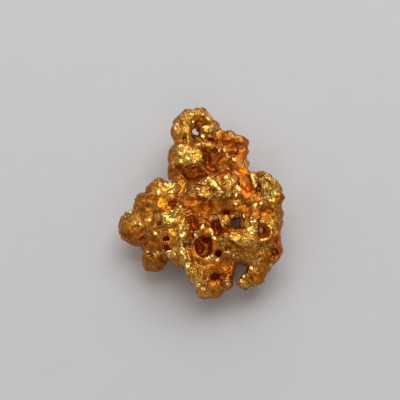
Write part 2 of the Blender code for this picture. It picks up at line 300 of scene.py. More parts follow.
# %% [markdown]
# ## Folds
#
# Long crests of crumpled gold run over the face: two ridges side by side from the middle down to
# the tongue, strands beside the hole in the head, curls in the middle. Each could be a curve with
# a round bevel, but a row of beads whose sizes and places vary a little looks grown, not piped.

# %% Where the crests run
# radius, lift above the skin, then the spots that the crest runs through
FOLDS = {
    "ridge_a": (0.24, 0.16, [(-1.5, -1.2), (-1.85, -2.4), (-1.8, -3.6), (-1.75, -4.9),
                             (-1.2, -6.1), (-0.6, -7.2), (0.1, -8.0)]),
    "ridge_b": (0.20, 0.16, [(-1.0, -1.6), (-1.35, -2.8), (-1.3, -4.2), (-1.1, -5.4),
                             (-0.5, -6.4), (0.2, -7.6)]),
    "crown": (0.20, 0.04, [(-1.8, 8.6), (-1.0, 9.0), (-0.1, 9.15), (0.6, 8.9), (1.2, 8.1),
                           (1.8, 7.7)]),
    "strand_a": (0.15, 0.08, [(-1.2, 8.4), (-1.25, 7.4), (-1.2, 6.2), (-1.0, 5.4)]),
    "strand_b": (0.15, 0.06, [(-1.7, 8.2), (-1.75, 7.3), (-1.6, 6.6)]),
    "strand_c": (0.15, 0.06, [(-2.4, 7.9), (-2.2, 7.2), (-2.3, 6.7)]),
    "hole_brow": (0.15, 0.10, [(0.0, 7.95), (0.6, 7.85), (1.3, 7.75)]),
    "hole_lip": (0.14, 0.10, [(0.0, 7.45), (0.5, 7.40), (0.9, 7.30)]),
    "hole_side": (0.14, 0.08, [(0.1, 7.0), (0.4, 6.6), (0.4, 6.2)]),
    "leaf_brow": (0.12, 0.12, [(0.7, 6.85), (1.2, 6.80), (1.6, 6.60), (1.8, 6.0)]),
    "slab_fold_a": (0.12, 0.10, [(-2.2, 4.3), (-1.4, 4.25), (-0.6, 4.35), (0.1, 4.3)]),
    "slab_fold_b": (0.12, 0.10, [(-2.0, 5.0), (-1.2, 5.1), (-0.4, 5.3)]),
    "s_curl": (0.15, 0.16, [(0.0, 1.0), (0.35, 1.35), (0.9, 1.5), (1.3, 1.2), (1.6, 1.0)]),
    "s_foot": (0.20, 0.18, [(0.8, 0.5), (1.2, 0.85), (1.8, 1.1), (2.4, 1.3)]),
    "blade_a": (0.15, 0.18, [(0.6, 2.4), (0.85, 2.75), (1.05, 3.0)]),
    "blade_b": (0.16, 0.15, [(1.0, 2.2), (1.35, 1.9), (1.8, 1.7), (2.0, 1.5)]),
    "arc_a": (0.13, 0.12, [(2.3, 2.0), (2.55, 2.35), (3.0, 2.5)]),
    "arc_b": (0.14, 0.08, [(2.7, 0.9), (3.0, 1.6), (3.0, 2.4)]),
    "orange_rim": (0.14, 0.08, [(-0.9, -0.9), (0.0, -1.1), (0.35, -1.7), (0.1, -2.5),
                                (-0.7, -2.7)]),
    "pit_lid": (0.16, 0.12, [(1.1, -1.3), (1.9, -1.25), (2.3, -1.7), (3.0, -2.1)]),
    "pit_wall": (0.14, 0.08, [(1.2, -2.6), (1.3, -3.3), (1.9, -3.5)]),
    "smile": (0.11, 0.08, [(2.3, -4.35), (2.8, -4.55), (3.2, -4.3)]),
    "frown": (0.11, 0.08, [(2.1, -3.6), (2.5, -3.9), (3.3, -4.1)]),
    "eye_crest": (0.13, 0.08, [(6.3, -1.7), (6.9, -2.0), (7.1, -2.7), (6.8, -3.4),
                               (6.1, -3.6)]),
    "eye_lid": (0.14, 0.10, [(4.6, -2.2), (5.0, -2.8), (5.5, -2.7), (5.7, -2.0)]),
    "ring": (0.12, 0.08, [(5.2, 0.4), (5.0, 0.1), (5.3, -0.2), (5.6, 0.1), (5.4, 0.45)]),
    "spine": (0.12, 0.08, [(4.4, -0.8), (4.4, -1.3)]),
    "hook_streak": (0.12, 0.06, [(5.0, -6.0), (5.05, -6.4), (4.3, -6.9)]),
    "tongue_fold": (0.14, 0.08, [(0.1, -6.5), (0.5, -7.1), (0.9, -7.5)]),
    "flake_edge": (0.15, 0.05, [(5.9, 3.0), (6.5, 3.1), (7.2, 2.4), (7.7, 1.5), (7.9, 0.4)]),
    "flake_fold": (0.11, 0.06, [(6.1, 2.3), (6.8, 1.7), (7.2, 0.9)]),
    "left_fold": (0.14, 0.08, [(-3.7, -4.3), (-3.0, -4.25), (-2.4, -4.35)]),
    "frond_a": (0.13, 0.10, [(2.4, 5.2), (2.9, 4.8), (3.6, 4.3)]),
    "frond_b": (0.11, 0.10, [(3.2, 5.3), (3.5, 4.9), (3.9, 4.6)]),
}
print(len(FOLDS), "crests")

# %% Row the beads
BEAD_STEP, BEAD_STRAY = 0.9, 0.15           # of the fold's radius
FOLD_GRAIN = 0.10                           # mm
tree = tree_of(gold)
chance = random.Random(3)
form = bmesh.new()
for radius, lift, route in FOLDS.values():
    for (a0, u0), (a1, u1) in zip(route, route[1:]):
        beads = max(1, round(math.hypot(a1 - a0, u1 - u0) / (radius * BEAD_STEP)))
        for k in range(beads):
            across = a0 + (a1 - a0) * k / beads + chance.gauss(0, radius * BEAD_STRAY)
            up = u0 + (u1 - u0) * k / beads + chance.gauss(0, radius * BEAD_STRAY)
            place, normal = skin_at(tree, across, up)
            size = radius * chance.uniform(0.75, 1.25)
            add_ball(form, place + normal * lift, (size,) * 3)
merge_in(gold, form)
remesh(gold, FOLD_GRAIN)
soften(gold, 1)
report("folds", gold)

# %% [markdown]
# ## Pits and holes
#
# The sponge is full of pits: one great one, many about a millimetre wide, and pores strewn
# everywhere. Dimples in a bump pattern would leave the outline and the shadows flat, so they are
# cut with one Boolean. All the cutters are first fused into one mesh and pushed about by a noise,
# so that no pit looks drilled.

# %% The deep pits
# across, up, half width, half height, depth, turn
PITS = {
    "great_pit_left": (0.00, -4.20, 0.40, 0.85, 0.60, 10),
    "great_pit_floor": (0.60, -3.50, 0.46, 0.32, 0.70, -20),
    "great_pit_foot": (0.60, -5.10, 0.50, 0.18, 0.40, -10),
    "tall_pit": (1.62, -2.40, 0.40, 0.62, 0.50, 15),
    "upper_pit": (2.50, -0.92, 0.40, 0.36, 0.50, 0),
    "small_pit": (1.80, -4.72, 0.40, 0.26, 0.32, 35),
    "tongue_pit": (1.50, -7.05, 0.36, 0.32, 0.50, 0),
    "side_pit": (7.30, -4.60, 0.34, 0.48, 0.40, 20),
    "side_pit_low": (7.00, -5.15, 0.28, 0.28, 0.45, 0),
    "side_pit_high": (7.60, -3.60, 0.26, 0.38, 0.40, 0),
    "flake_slot": (7.65, 0.70, 0.16, 0.32, 0.55, 10),
    "crest_pit": (0.60, 0.35, 0.24, 0.30, 0.45, 0),
    "red_pit": (1.25, 1.50, 0.34, 0.20, 0.60, -10),
    "ember_pit": (-2.80, 0.10, 0.24, 0.28, 0.60, 0),
    "dot_pit": (-0.60, -1.75, 0.15, 0.13, 0.40, 0),
    "orange_bowl": (-0.60, -1.95, 0.50, 0.55, 0.12, 0),
    "left_pit": (-3.40, -3.30, 0.34, 0.28, 0.50, 0),
    "left_slit": (-3.25, -4.20, 0.55, 0.18, 0.60, 8),
    "foot_pit": (-4.60, -5.90, 0.26, 0.20, 0.40, 0),
    "foot_crease": (-4.90, -4.95, 0.50, 0.14, 0.30, 0),
    "ear_pit": (-6.30, -2.25, 0.20, 0.14, 0.35, 30),
    "ear_pit_2": (-6.70, -0.80, 0.18, 0.12, 0.30, 30),
    "ear_pit_3": (-5.60, -3.30, 0.20, 0.14, 0.35, -20),
    "ear_pit_4": (-7.10, -1.60, 0.16, 0.12, 0.30, 0),
    "ear_pit_5": (-5.90, -0.90, 0.22, 0.12, 0.30, -30),
    "ring_pit": (-5.20, -0.10, 0.26, 0.22, 0.30, 0),
    "rim_pit": (-4.20, 1.80, 0.40, 0.18, 0.45, 20),
    "head_pit": (-0.10, 8.50, 0.40, 0.30, 0.55, 0),
    "strand_pit": (-1.60, 6.70, 0.24, 0.45, 0.50, 0),
    "crown_pit": (-1.40, 9.00, 0.24, 0.16, 0.30, 0),
    "shoulder_pit": (-2.90, 3.30, 0.28, 0.30, 0.50, 0),
    "shoulder_pit_2": (-1.60, 3.20, 0.26, 0.22, 0.45, 0),
    "crease": (0.15, 5.60, 0.55, 0.16, 0.55, -50),
    "under_slab": (-0.10, 3.15, 0.60, 0.26, 0.25, 0),
    "beside_slab": (0.75, 4.60, 0.30, 0.90, 0.45, 0),
}
print(len(PITS), "deep pits")

# %% Shallow bowls, folds and dots
PITS |= {
    "brown_bowl": (2.90, 6.00, 0.85, 0.60, 0.20, -20),
    "brown_fold": (2.10, 4.60, 0.50, 0.20, 0.30, 50),
    "brown_fold_2": (1.50, 3.60, 0.45, 0.20, 0.30, -30),
    "brown_fold_3": (2.90, 3.70, 0.35, 0.16, 0.25, 20),
    "corner_bowl": (4.00, 6.00, 0.40, 0.50, 0.20, 0),
    "beside_blade": (5.75, 1.80, 0.15, 0.70, 0.50, 10),
    "low_bowl": (2.70, -5.90, 0.85, 0.60, 0.20, 20),
    "low_left_bowl": (0.30, -5.75, 0.80, 0.32, 0.22, 0),
    "right_bowl": (3.90, 0.00, 0.60, 0.40, 0.25, 20),
    "right_bowl_2": (6.30, -0.90, 0.50, 0.28, 0.30, 0),
    "wide_bowl": (-1.20, 0.50, 0.95, 0.42, 0.22, 0),
    "right_dot": (6.20, -4.75, 0.13, 0.13, 0.30, 0),
    "pinch": (2.80, -4.20, 0.22, 0.14, 0.30, 0),
    "pinch_2": (4.70, -0.15, 0.18, 0.13, 0.30, 0),
    "foot_hollow": (-5.60, -3.70, 0.60, 0.22, 0.25, 0),
    "tongue_bowl": (1.45, -8.00, 0.40, 0.26, 0.20, 0),
    "chin": (3.95, -6.75, 0.25, 0.20, 0.40, 0),
}

# %% Where it is cut right through
# across, up, half width, half height, turn
HOLES = {
    "head_hole": (-0.48, 7.35, 0.44, 0.54, 25),
    "pin_hole": (-0.40, 7.95, 0.14, 0.15, 0),
    "grey_hole": (3.60, -1.80, 0.60, 0.48, 0),
    "eye_hole": (6.05, -2.45, 0.42, 0.39, 0),
    "hook_hole": (4.90, -7.20, 0.20, 0.17, 0),
    "notch": (4.25, -6.45, 0.55, 0.20, 5),
}
# nicks in the outline, cut in the same way
NICKS = {
    "brow": (2.25, 7.75, 0.26, 0.22, 0),
    "corner": (3.75, 7.20, 0.22, 0.22, 0),
    "corner_low": (5.10, 5.00, 0.26, 0.16, 0),
    "neck": (5.05, 3.40, 0.26, 0.16, 0),
    "crown": (-0.80, 9.75, 0.20, 0.18, 0),
    "cheek": (-3.40, 6.20, 0.26, 0.20, 0),
    "jaw": (-3.40, 4.00, 0.22, 0.18, 0),
    "tongue_left": (-0.60, -9.40, 0.60, 0.40, 30),
    "tongue_foot": (0.60, -9.75, 0.60, 0.40, 0),
    "rim": (8.70, -1.00, 0.30, 0.16, 0),
}
print(len(PITS), "pits,", len(HOLES), "holes,", len(NICKS), "nicks")


# %% Cutters for the pits and holes
# how much wider than the pit; its centre above the skin and its half length, of the pit's depth
PIT_PARTS = {"deep": (1.0, 0.6, 1.6), "mouth": (1.35, 0.3, 0.6)}


def add_pit(form, place, normal, radii, turn):
    """A deep ellipsoid inside a shallow wide one, so that the mouth of the pit flares."""
    wide, tall, depth = radii
    facing = (normal + TO_EYE).normalized()
    axes = frame_from(facing, turn)
    for wider, rise, half in PIT_PARTS.values():
        centre = place + facing * depth * rise
        add_ball(form, centre, (wide * wider, tall * wider, depth * half), axes, 3)


THROUGH = 8.0                               # half length of a cutter that goes right through, mm
FLARED = ("head_hole", "grey_hole", "eye_hole")
FLARE = 3.0                                 # how much wider these are underneath
FLARE_HEIGHT, FLARE_DEEP = 1.0, 2.6         # middle and half height of the wide part, mm
tree = tree_of(gold)
form = bmesh.new()
for across, up, wide, tall, depth, turn in PITS.values():
    place, normal = skin_at(tree, across, up)
    add_pit(form, place, normal, (wide, tall, depth), turn)
for across, up, wide, tall, turn in (*HOLES.values(), *NICKS.values()):
    centre = at_height(across, up, MID_HEIGHT)
    add_ball(form, centre, (wide, tall, THROUGH), frame_from(TO_EYE, turn), 3)
for name in FLARED:
    across, up, wide, tall, turn = HOLES[name]
    centre = at_height(across, up, FLARE_HEIGHT)
    add_ball(form, centre, (wide * FLARE, tall * FLARE, FLARE_DEEP), frame_from(TO_EYE), 3)

# %% Pores strewn over the rest of the skin
PORES = 260
PORE_SPACING = 0.75                         # least distance between two pores, mm
PORE_SIZE = (0.12, 0.30)                    # least and most half width of a pore, mm
OFF_AXIS = Vector((0.01, 0.0, 0.0))         # keeps a normal from lying along FACE_UP
LOWEST = 0.5                                # nothing finer is made this near the table, mm
FACE_SPARED = 0.65                          # share of those on the face that are left out
chance = random.Random(21)
corners = gold.data.vertices
places = []
while len(places) < PORES:
    corner = corners[chance.randrange(len(corners))]
    if corner.co.z < LOWEST or any((corner.co - other).length < PORE_SPACING for other in places):
        continue
    if faces_eye(corner.normal) and chance.random() < FACE_SPARED:
        continue
    places.append(corner.co.copy())
    size = chance.uniform(*PORE_SIZE)
    axes = frame_from((corner.normal + OFF_AXIS).normalized(), chance.uniform(0, 180))
    add_ball(form, corner.co, (size * chance.uniform(1.0, 1.8), size, size * 1.5), axes)
print(len(places), "pores")

# %% Carve them all at once
CUT_GRAIN = 0.07                            # voxels of the cutters, mm
SKIN_GRAIN = 0.08                           # voxels of the skin from here on, mm
WANDER_BY = 0.18                            # the cutters' walls wander by this, mm,
WANDER_SIZE = 0.50                          # over this distance


def wander(made, amount, size):
    """Pushes the points of a mesh in and out by a noise, so that nothing on it stays round."""
    form = form_of(made)
    for corner in form.verts:
        corner.co += corner.normal * noise.fractal(corner.co / size, 1.0, 2.0, 3) * amount
    put_back(form, made)


cutter = object_of(form, "cutter")
remesh(cutter, CUT_GRAIN)
wander(cutter, WANDER_BY, WANDER_SIZE)
remesh(cutter, CUT_GRAIN)
carve = gold.modifiers.new("carve", "BOOLEAN")
carve.operation = "DIFFERENCE"
carve.object = cutter
bake(gold)
bpy.data.objects.remove(cutter)
remesh(gold, SKIN_GRAIN)
soften(gold, 1)
report("pits", gold)

# %% [markdown]
# ## Stains, burnished places and a painted glow
#
# The gold is not one colour. Hollows hold a thin red-brown film of iron oxide, some smooth bowls are
# painted a bright orange glow that stands in for light reflected there many times, and the bare
# places between them are pale and bright.
# A noise alone would put them anywhere. The large patches are set down one by one, with ragged
# borders, and a noise goes on with them over the sides and the underside.

# %% Where the rust is
# across, up, half width, half height, strength
RUST = [
    (1.0, 5.6, 0.9, 0.5, 0.4), (2.9, 6.0, 1.5, 0.9, 1.0), (1.2, 4.3, 1.1, 1.3, 1.0),
    (3.2, 4.6, 1.7, 1.2, 1.0), (4.2, 6.0, 0.8, 1.0, 1.0), (-0.2, 3.0, 1.3, 0.7, 1.0),
    (-2.6, 3.3, 0.6, 0.7, 0.8), (2.6, 3.0, 1.6, 0.5, 0.6), (-6.2, -3.2, 1.3, 0.7, 1.0),
    (-4.9, -3.9, 1.3, 0.7, 1.0), (-6.9, -0.9, 0.9, 0.5, 0.5), (-4.9, -1.2, 0.9, 0.6, 0.4),
    (0.6, -4.2, 1.3, 1.3, 0.9), (2.6, -6.0, 1.4, 0.9, 1.0), (-4.5, -5.8, 1.1, 1.0, 0.6),
    (7.5, -4.2, 0.8, 1.8, 0.9), (5.0, -4.9, 1.0, 0.6, 0.4), (6.4, -5.3, 0.8, 0.8, 0.5),
    (-1.5, 0.6, 1.4, 0.6, 0.8), (-4.8, 0.6, 0.9, 0.9, 0.4), (3.0, -0.1, 1.6, 0.7, 0.8),
    (0.2, -1.4, 1.2, 0.9, 0.6), (5.6, -0.7, 1.4, 0.5, 0.8), (-2.0, 6.8, 0.8, 0.6, 0.4),
    (0.2, 8.2, 0.5, 0.4, 0.7), (0.9, -7.6, 0.7, 0.9, 0.5), (2.0, 2.6, 0.8, 0.5, 0.4),
    (-3.7, -3.2, 0.9, 0.6, 0.4), (6.0, -6.9, 0.6, 0.5, 0.6), (7.9, 0.4, 0.4, 1.0, 0.4),
    (4.6, 1.6, 0.8, 1.2, 0.9), (5.4, 0.8, 0.8, 0.7, 0.7), (2.4, -7.4, 0.8, 0.7, 0.8),
    (1.65, -2.45, 0.5, 0.7, 0.9),
]
# smooth bowls painted a bright orange glow, standing in for light reflected there many times
ORANGE_GLOW = [
    (4.62, 1.95, 0.48, 1.20, 0.7), (-3.50, 0.30, 0.55, 0.72, 1.0), (0.0, -0.15, 1.2, 0.6, 0.75),
    (1.6, 0.0, 0.8, 0.5, 0.5), (6.50, -2.50, 0.35, 0.60, 0.9), (6.2, -3.25, 0.45, 0.20, 0.9),
    (6.0, 0.25, 0.28, 0.40, 0.7), (6.5, -1.0, 0.4, 0.35, 0.7), (5.5, -7.3, 0.40, 0.25, 0.8),
    (1.50, -4.00, 0.35, 0.55, 0.7), (1.40, -8.05, 0.45, 0.30, 0.8), (-0.5, -1.95, 0.55, 0.60, 0.7),
    (-3.0, -3.4, 0.25, 0.30, 0.7), (1.3, -5.5, 0.9, 0.35, 0.5), (2.7, -6.1, 0.8, 0.4, 0.5),
    (4.3, 3.0, 0.35, 0.60, 0.5), (-2.8, 0.2, 0.3, 0.3, 0.5), (7.5, -4.5, 0.3, 0.4, 0.5),
]

# %% Where it is bare and burnished
BURNISH = [
    (-1.05, 4.70, 1.45, 1.05, 1.0), (-1.6, 5.6, 0.8, 0.5, 0.9), (1.1, 5.80, 1.2, 0.42, 0.9),
    (0.0, 9.0, 1.6, 0.5, 1.0), (-1.3, 7.5, 0.5, 1.6, 0.8), (-2.3, 7.5, 0.3, 0.9, 0.5),
    (1.1, 7.7, 0.8, 0.4, 0.8), (1.2, 2.3, 0.9, 0.6, 1.0), (1.3, 0.9, 1.2, 0.4, 1.0),
    (0.5, 1.3, 0.6, 0.3, 0.8), (-3.0, 1.5, 1.3, 0.6, 1.0), (-2.8, -1.2, 1.2, 0.9, 0.9),
    (-2.2, -2.6, 0.9, 0.9, 0.5), (-1.6, -2.0, 0.40, 1.0, 1.0), (-1.65, -4.2, 0.50, 1.7, 1.0),
    (-0.9, -6.2, 0.6, 0.9, 1.0), (-0.2, -7.5, 0.6, 1.0, 0.9), (0.4, -8.6, 0.7, 0.4, 0.7),
    (-2.7, -4.8, 0.8, 0.5, 1.0), (6.9, 1.5, 0.9, 1.8, 0.9), (5.3, 2.3, 0.30, 0.9, 1.0),
    (3.3, 2.3, 0.6, 0.6, 0.8), (4.1, -3.3, 1.7, 0.6, 0.9), (5.0, -2.2, 0.7, 0.8, 0.9),
    (2.0, -1.45, 0.9, 0.40, 0.8), (1.3, -3.1, 0.4, 0.6, 0.6), (4.3, -7.2, 0.5, 0.6, 0.7),
    (5.3, -4.9, 1.1, 0.8, 0.60), (-6.3, -1.6, 1.0, 0.7, 0.3), (3.0, 4.9, 0.5, 0.5, 0.6),
    (0.9, -5.2, 0.8, 0.3, 0.6), (7.0, -2.0, 0.5, 0.6, 0.5), (4.6, 4.3, 0.4, 0.7, 0.5),
]
print(len(RUST), "rust,", len(ORANGE_GLOW), "honey and", len(BURNISH), "burnished patches")


# %% Patches with ragged borders
FINE_SIZE, FINE_BY = 0.40, 0.40             # two noises fray a border: the size of each, mm,
BROAD_SIZE, BROAD_BY = 1.1, 0.25            # and how far it frays, of the patch's half width
FADE_END, FADE_WIDTH = 1.25, 0.4            # where the patch ends, and over how much it fades


def clamp(value):
    return min(1.0, max(0.0, value))


def seen_spot(point):
    """Across and up of a point, the other way round from skin_at."""
    offset = point - FACE_ZERO
    return offset.x, offset.dot(FACE_UP)


def patch_at(patches, point):
    """The strongest of the patches at this point of the face."""
    across, up = seen_spot(point)
    ragged = FINE_BY * noise.noise(point / FINE_SIZE) + BROAD_BY * noise.noise(point / BROAD_SIZE)
    most = 0.0
    for a, u, wide, tall, strength in patches:
        if abs(across - a) < 2 * wide and abs(up - u) < 2 * tall:
            away = math.hypot((across - a) / wide, (up - u) / tall) + ragged
            most = max(most, strength * clamp((FADE_END - away) / FADE_WIDTH))
    return most


# %% How rough the skin is at a point
LEAST_ROUGH = 0.42
CLOUD_SIZE = 1.7                            # size of rough and smooth places underneath, mm
# the orange glow patches are smooth bowls with a painted glow of reflected light; the rust patches
# are stained floors
GLOW_SMOOTHS, RUST_SMOOTHS = 0.8, 0.4      # share of the crumpling that a stained floor loses


def seen_share(normal):
    """1 where the eye looks, 0 where it does not, and a soft change between the two."""
    return clamp(0.5 + 3.0 * normal.dot(TO_EYE))


def roughness_at(point, normal):
    """How crumpled the skin is, from 0 to 1: as drawn on the face, by a noise elsewhere."""
    cloud = 0.3 + 0.6 * clamp(0.55 + 1.2 * noise.noise(point / CLOUD_SIZE))
    facing = seen_share(normal)
    if facing == 0.0:
        return cloud
    drawn = max(LEAST_ROUGH, patch_at(BURNISH, point))
    smooth_glow = 1.0 - GLOW_SMOOTHS * patch_at(ORANGE_GLOW, point)
    smooth_rust = 1.0 - RUST_SMOOTHS * patch_at(RUST, point)
    drawn *= smooth_glow * smooth_rust
    return facing * drawn + (1.0 - facing) * cloud


# %% [markdown]
# ## Foil
#
# Thin edges of the sponge have been beaten flat and have curled over, so the bare places are
# covered with small worm-like folds. They could be painted on as a bump, but then they would cast
# no shadow. Each one is a row of beads that wanders over the skin: a step along the surface, a
# small turn, and back down to the nearest point of the skin.

# %% How the foil lies
# across, up, reach of the place where it lies one way, and that way, turned from across
LIES = [
    (-1.60, 7.40, 1.3, 85), (-1.00, 4.80, 1.5, 8), (1.10, 5.80, 1.1, -28), (0.00, 9.00, 1.3, -5),
    (1.00, 7.70, 0.8, -5), (-1.60, -3.50, 2.0, 92), (-0.50, -7.00, 1.5, -55),
    (-3.00, 1.50, 1.0, 20), (6.90, 1.50, 1.8, -58), (4.00, -3.30, 1.5, -20),
    (7.80, -3.00, 1.8, 90), (4.60, 1.90, 1.2, 80), (5.20, -5.00, 1.0, 15),
]
LIE_SPREAD = 12.0                           # how far folds there stray from that way, degrees


def lie_at(point, normal, chance):
    """The way that the foil runs here: a drawn one where there is one, any way elsewhere."""
    across, up = seen_spot(point)
    for a, u, reach, turn in LIES:
        if math.hypot(across - a, up - u) < reach and faces_eye(normal):
            turn = math.radians(turn + chance.gauss(0.0, LIE_SPREAD))
            way = Vector((math.cos(turn), 0.0, 0.0)) + FACE_UP * math.sin(turn)
            return (way - normal * way.dot(normal)).normalized()
    way = normal.orthogonal().normalized()
    way.rotate(Quaternion(normal, chance.uniform(0.0, 2.0 * math.pi)))
    return way


# %% One wandering fold
WORM_STEP = 0.075                           # distance between two beads, mm
FIRST_BEND, BEND_CHANGE = 0.06, 0.09        # spread of its first bend and of each change, radians
BEND_KEPT = 0.8                             # share of a bend that the next bead takes over


def worm(tree, place, normal, heading, beads, radius, chance):
    """A mesh of one fold. It has a bmesh of its own, because operators slow down in a big one."""
    form = bmesh.new()
    bend = chance.gauss(0.0, FIRST_BEND)
    for k in range(beads):
        taper = 0.55 + 0.45 * math.sin(math.pi * (k + 0.5) / beads)
        add_ball(form, place + normal * radius * 0.6, (radius * taper,) * 3, steps=1)
        place, normal, _, _ = tree.find_nearest(place + heading * WORM_STEP)
        heading = (heading - normal * heading.dot(normal)).normalized()
        bend = BEND_KEPT * bend + chance.gauss(0.0, BEND_CHANGE)
        heading.rotate(Quaternion(normal, bend))
    mesh = bpy.data.meshes.new("worm")
    form.to_mesh(mesh)
    form.free()
    return mesh


# %% Let the folds wander
WORMS = 700
WORM_BEADS = (6, 22)
WORM_RADIUS = (0.08, 0.15)                  # mm
chance = random.Random(77)
tree = tree_of(gold)
corners = gold.data.vertices
form = bmesh.new()
laid = 0
while laid < WORMS:
    corner = corners[chance.randrange(len(corners))]
    if corner.co.z < LOWEST or chance.random() > roughness_at(corner.co, corner.normal) ** 2:
        continue
    heading = lie_at(corner.co, corner.normal, chance)
    mesh = worm(tree, corner.co.copy(), corner.normal.copy(), heading,
                chance.randrange(*WORM_BEADS), chance.uniform(*WORM_RADIUS), chance)
    form.from_mesh(mesh)
    bpy.data.meshes.remove(mesh)
    laid += 1
merge_in(gold, form)
remesh(gold, SKIN_GRAIN)
report("foil", gold)

# %% [markdown]
# ## The crystal skin
#
# Native gold grows as a heap of crystals, and a river then hammers their corners down. The skin
# is pushed in and out along its normals by a pattern of dents with sharp crests between them, and
# by one of creases. Both are strong where the gold is bare and weak on the stained floors of the
# hollows, which are smooth. A Displace modifier does the same with one strength everywhere.

# %% Dents and creases
def crests(point, size):
    """0 in the middle of a dent, 1 on the crest between two of them."""
    near = noise.voronoi(point / size, distance_metric="DISTANCE", exponent=2.5)[0]
    return min(1.0, near[0] / (near[1] + 1e-6))


def creases(point, size):
    """Sharp ridges that branch, with slack cloth-like dents between them, about -1 to 1."""
    return noise.ridged_multi_fractal(point / size, 0.9, 2.1, 3, 1.0, 2.0) - 1.0


# %% Push the skin in and out
DENT_SIZE, DENT_DEEP = 0.90, 0.15           # mm, as are all of these
CREASE_SIZE, CREASE_DEEP = 1.3, 0.12
GRAIN_SIZE, GRAIN_DEEP = 0.20, 0.03
STRAY_SIZE, STRAY_BY = 0.8, 0.30
FOOT = 0.02                                 # no point is pushed lower than this


def strayed(point, size, by):
    """The point moved about by a noise, so that no border drawn from it is straight."""
    return point + noise.noise_vector(point / size) * by


def crystal_skin(made):
    form = form_of(made)
    moved = []
    for corner in form.verts:
        point, normal = corner.co, corner.normal
        rough = roughness_at(point, normal)
        warp = strayed(point, STRAY_SIZE, STRAY_BY)
        push = DENT_DEEP * (crests(warp, DENT_SIZE) - 0.6)
        push += CREASE_DEEP * creases(warp, CREASE_SIZE)
        push += GRAIN_DEEP * noise.noise(point / GRAIN_SIZE)
        moved.append(point + normal * push * rough)
    for corner, place in zip(form.verts, moved):
        if place.z > FOOT:
            corner.co = place
    put_back(form, made)


crystal_skin(gold)
remesh(gold, SKIN_GRAIN)
report("creases", gold)

# %% [markdown]
# ## Crystal faces
#
# Up close the gold is a patchwork of small flat faces, each with a lean of its own, and that is
# what makes it glitter. A cell pattern shares the points of the skin out, and the points of one
# cell are pulled onto one plane. Modelling each face would take thousands of pieces, and a bump
# pattern would not show at the outline.

# %% Pull the points of each cell onto a plane
FACE_SIZE = 0.50                            # spacing of the cells, mm
BORDER_SIZE, BORDER_BY = 0.5, 0.12          # their borders stray over this distance, by this, mm
FACE_LEAN = 0.22                            # how far a face may lean from the skin under it
SPLIT_BY_LEAN = 1.4                         # the higher, the sooner a bend parts a cell in two
LEAST_HOLD, MORE_HOLD = 0.3, 0.45           # share of the way to its plane; more where it is rough
LEFT_ALONE = 0.05                           # points nearer to the table than this stay, mm
face_chance = random.Random(5)


def random_lean(amount):
    return Vector([face_chance.gauss(0, amount) for _ in range(3)])


def crystal_faces(made):
    form = form_of(made)
    cells = {}
    for corner in form.verts:
        centre = noise.voronoi(strayed(corner.co, BORDER_SIZE, BORDER_BY) / FACE_SIZE)[1][0]
        facing = corner.normal * SPLIT_BY_LEAN
        key = tuple(round(v * 50) for v in centre) + tuple(round(v) for v in facing)
        cells.setdefault(key, []).append(corner)
    for members in cells.values():
        middle = sum((corner.co for corner in members), Vector()) / len(members)
        facing = sum((corner.normal for corner in members), Vector()).normalized()
        facing = (facing + random_lean(FACE_LEAN)).normalized()
        hold = LEAST_HOLD + MORE_HOLD * roughness_at(middle, facing)
        for corner in members:
            if corner.co.z > LEFT_ALONE:
                corner.co -= facing * (corner.co - middle).dot(facing) * hold
    put_back(form, made)
    print(len(cells), "crystal faces")


crystal_faces(gold)

# %% [markdown]
# ## Mirror faces
#
# Here and there a whole face is polished, and those that lean half-way between the eye and the
# window flash. The points around such a spot are pulled onto a plane with that lean. A white spot
# of paint would flash from every side, and a face does not.

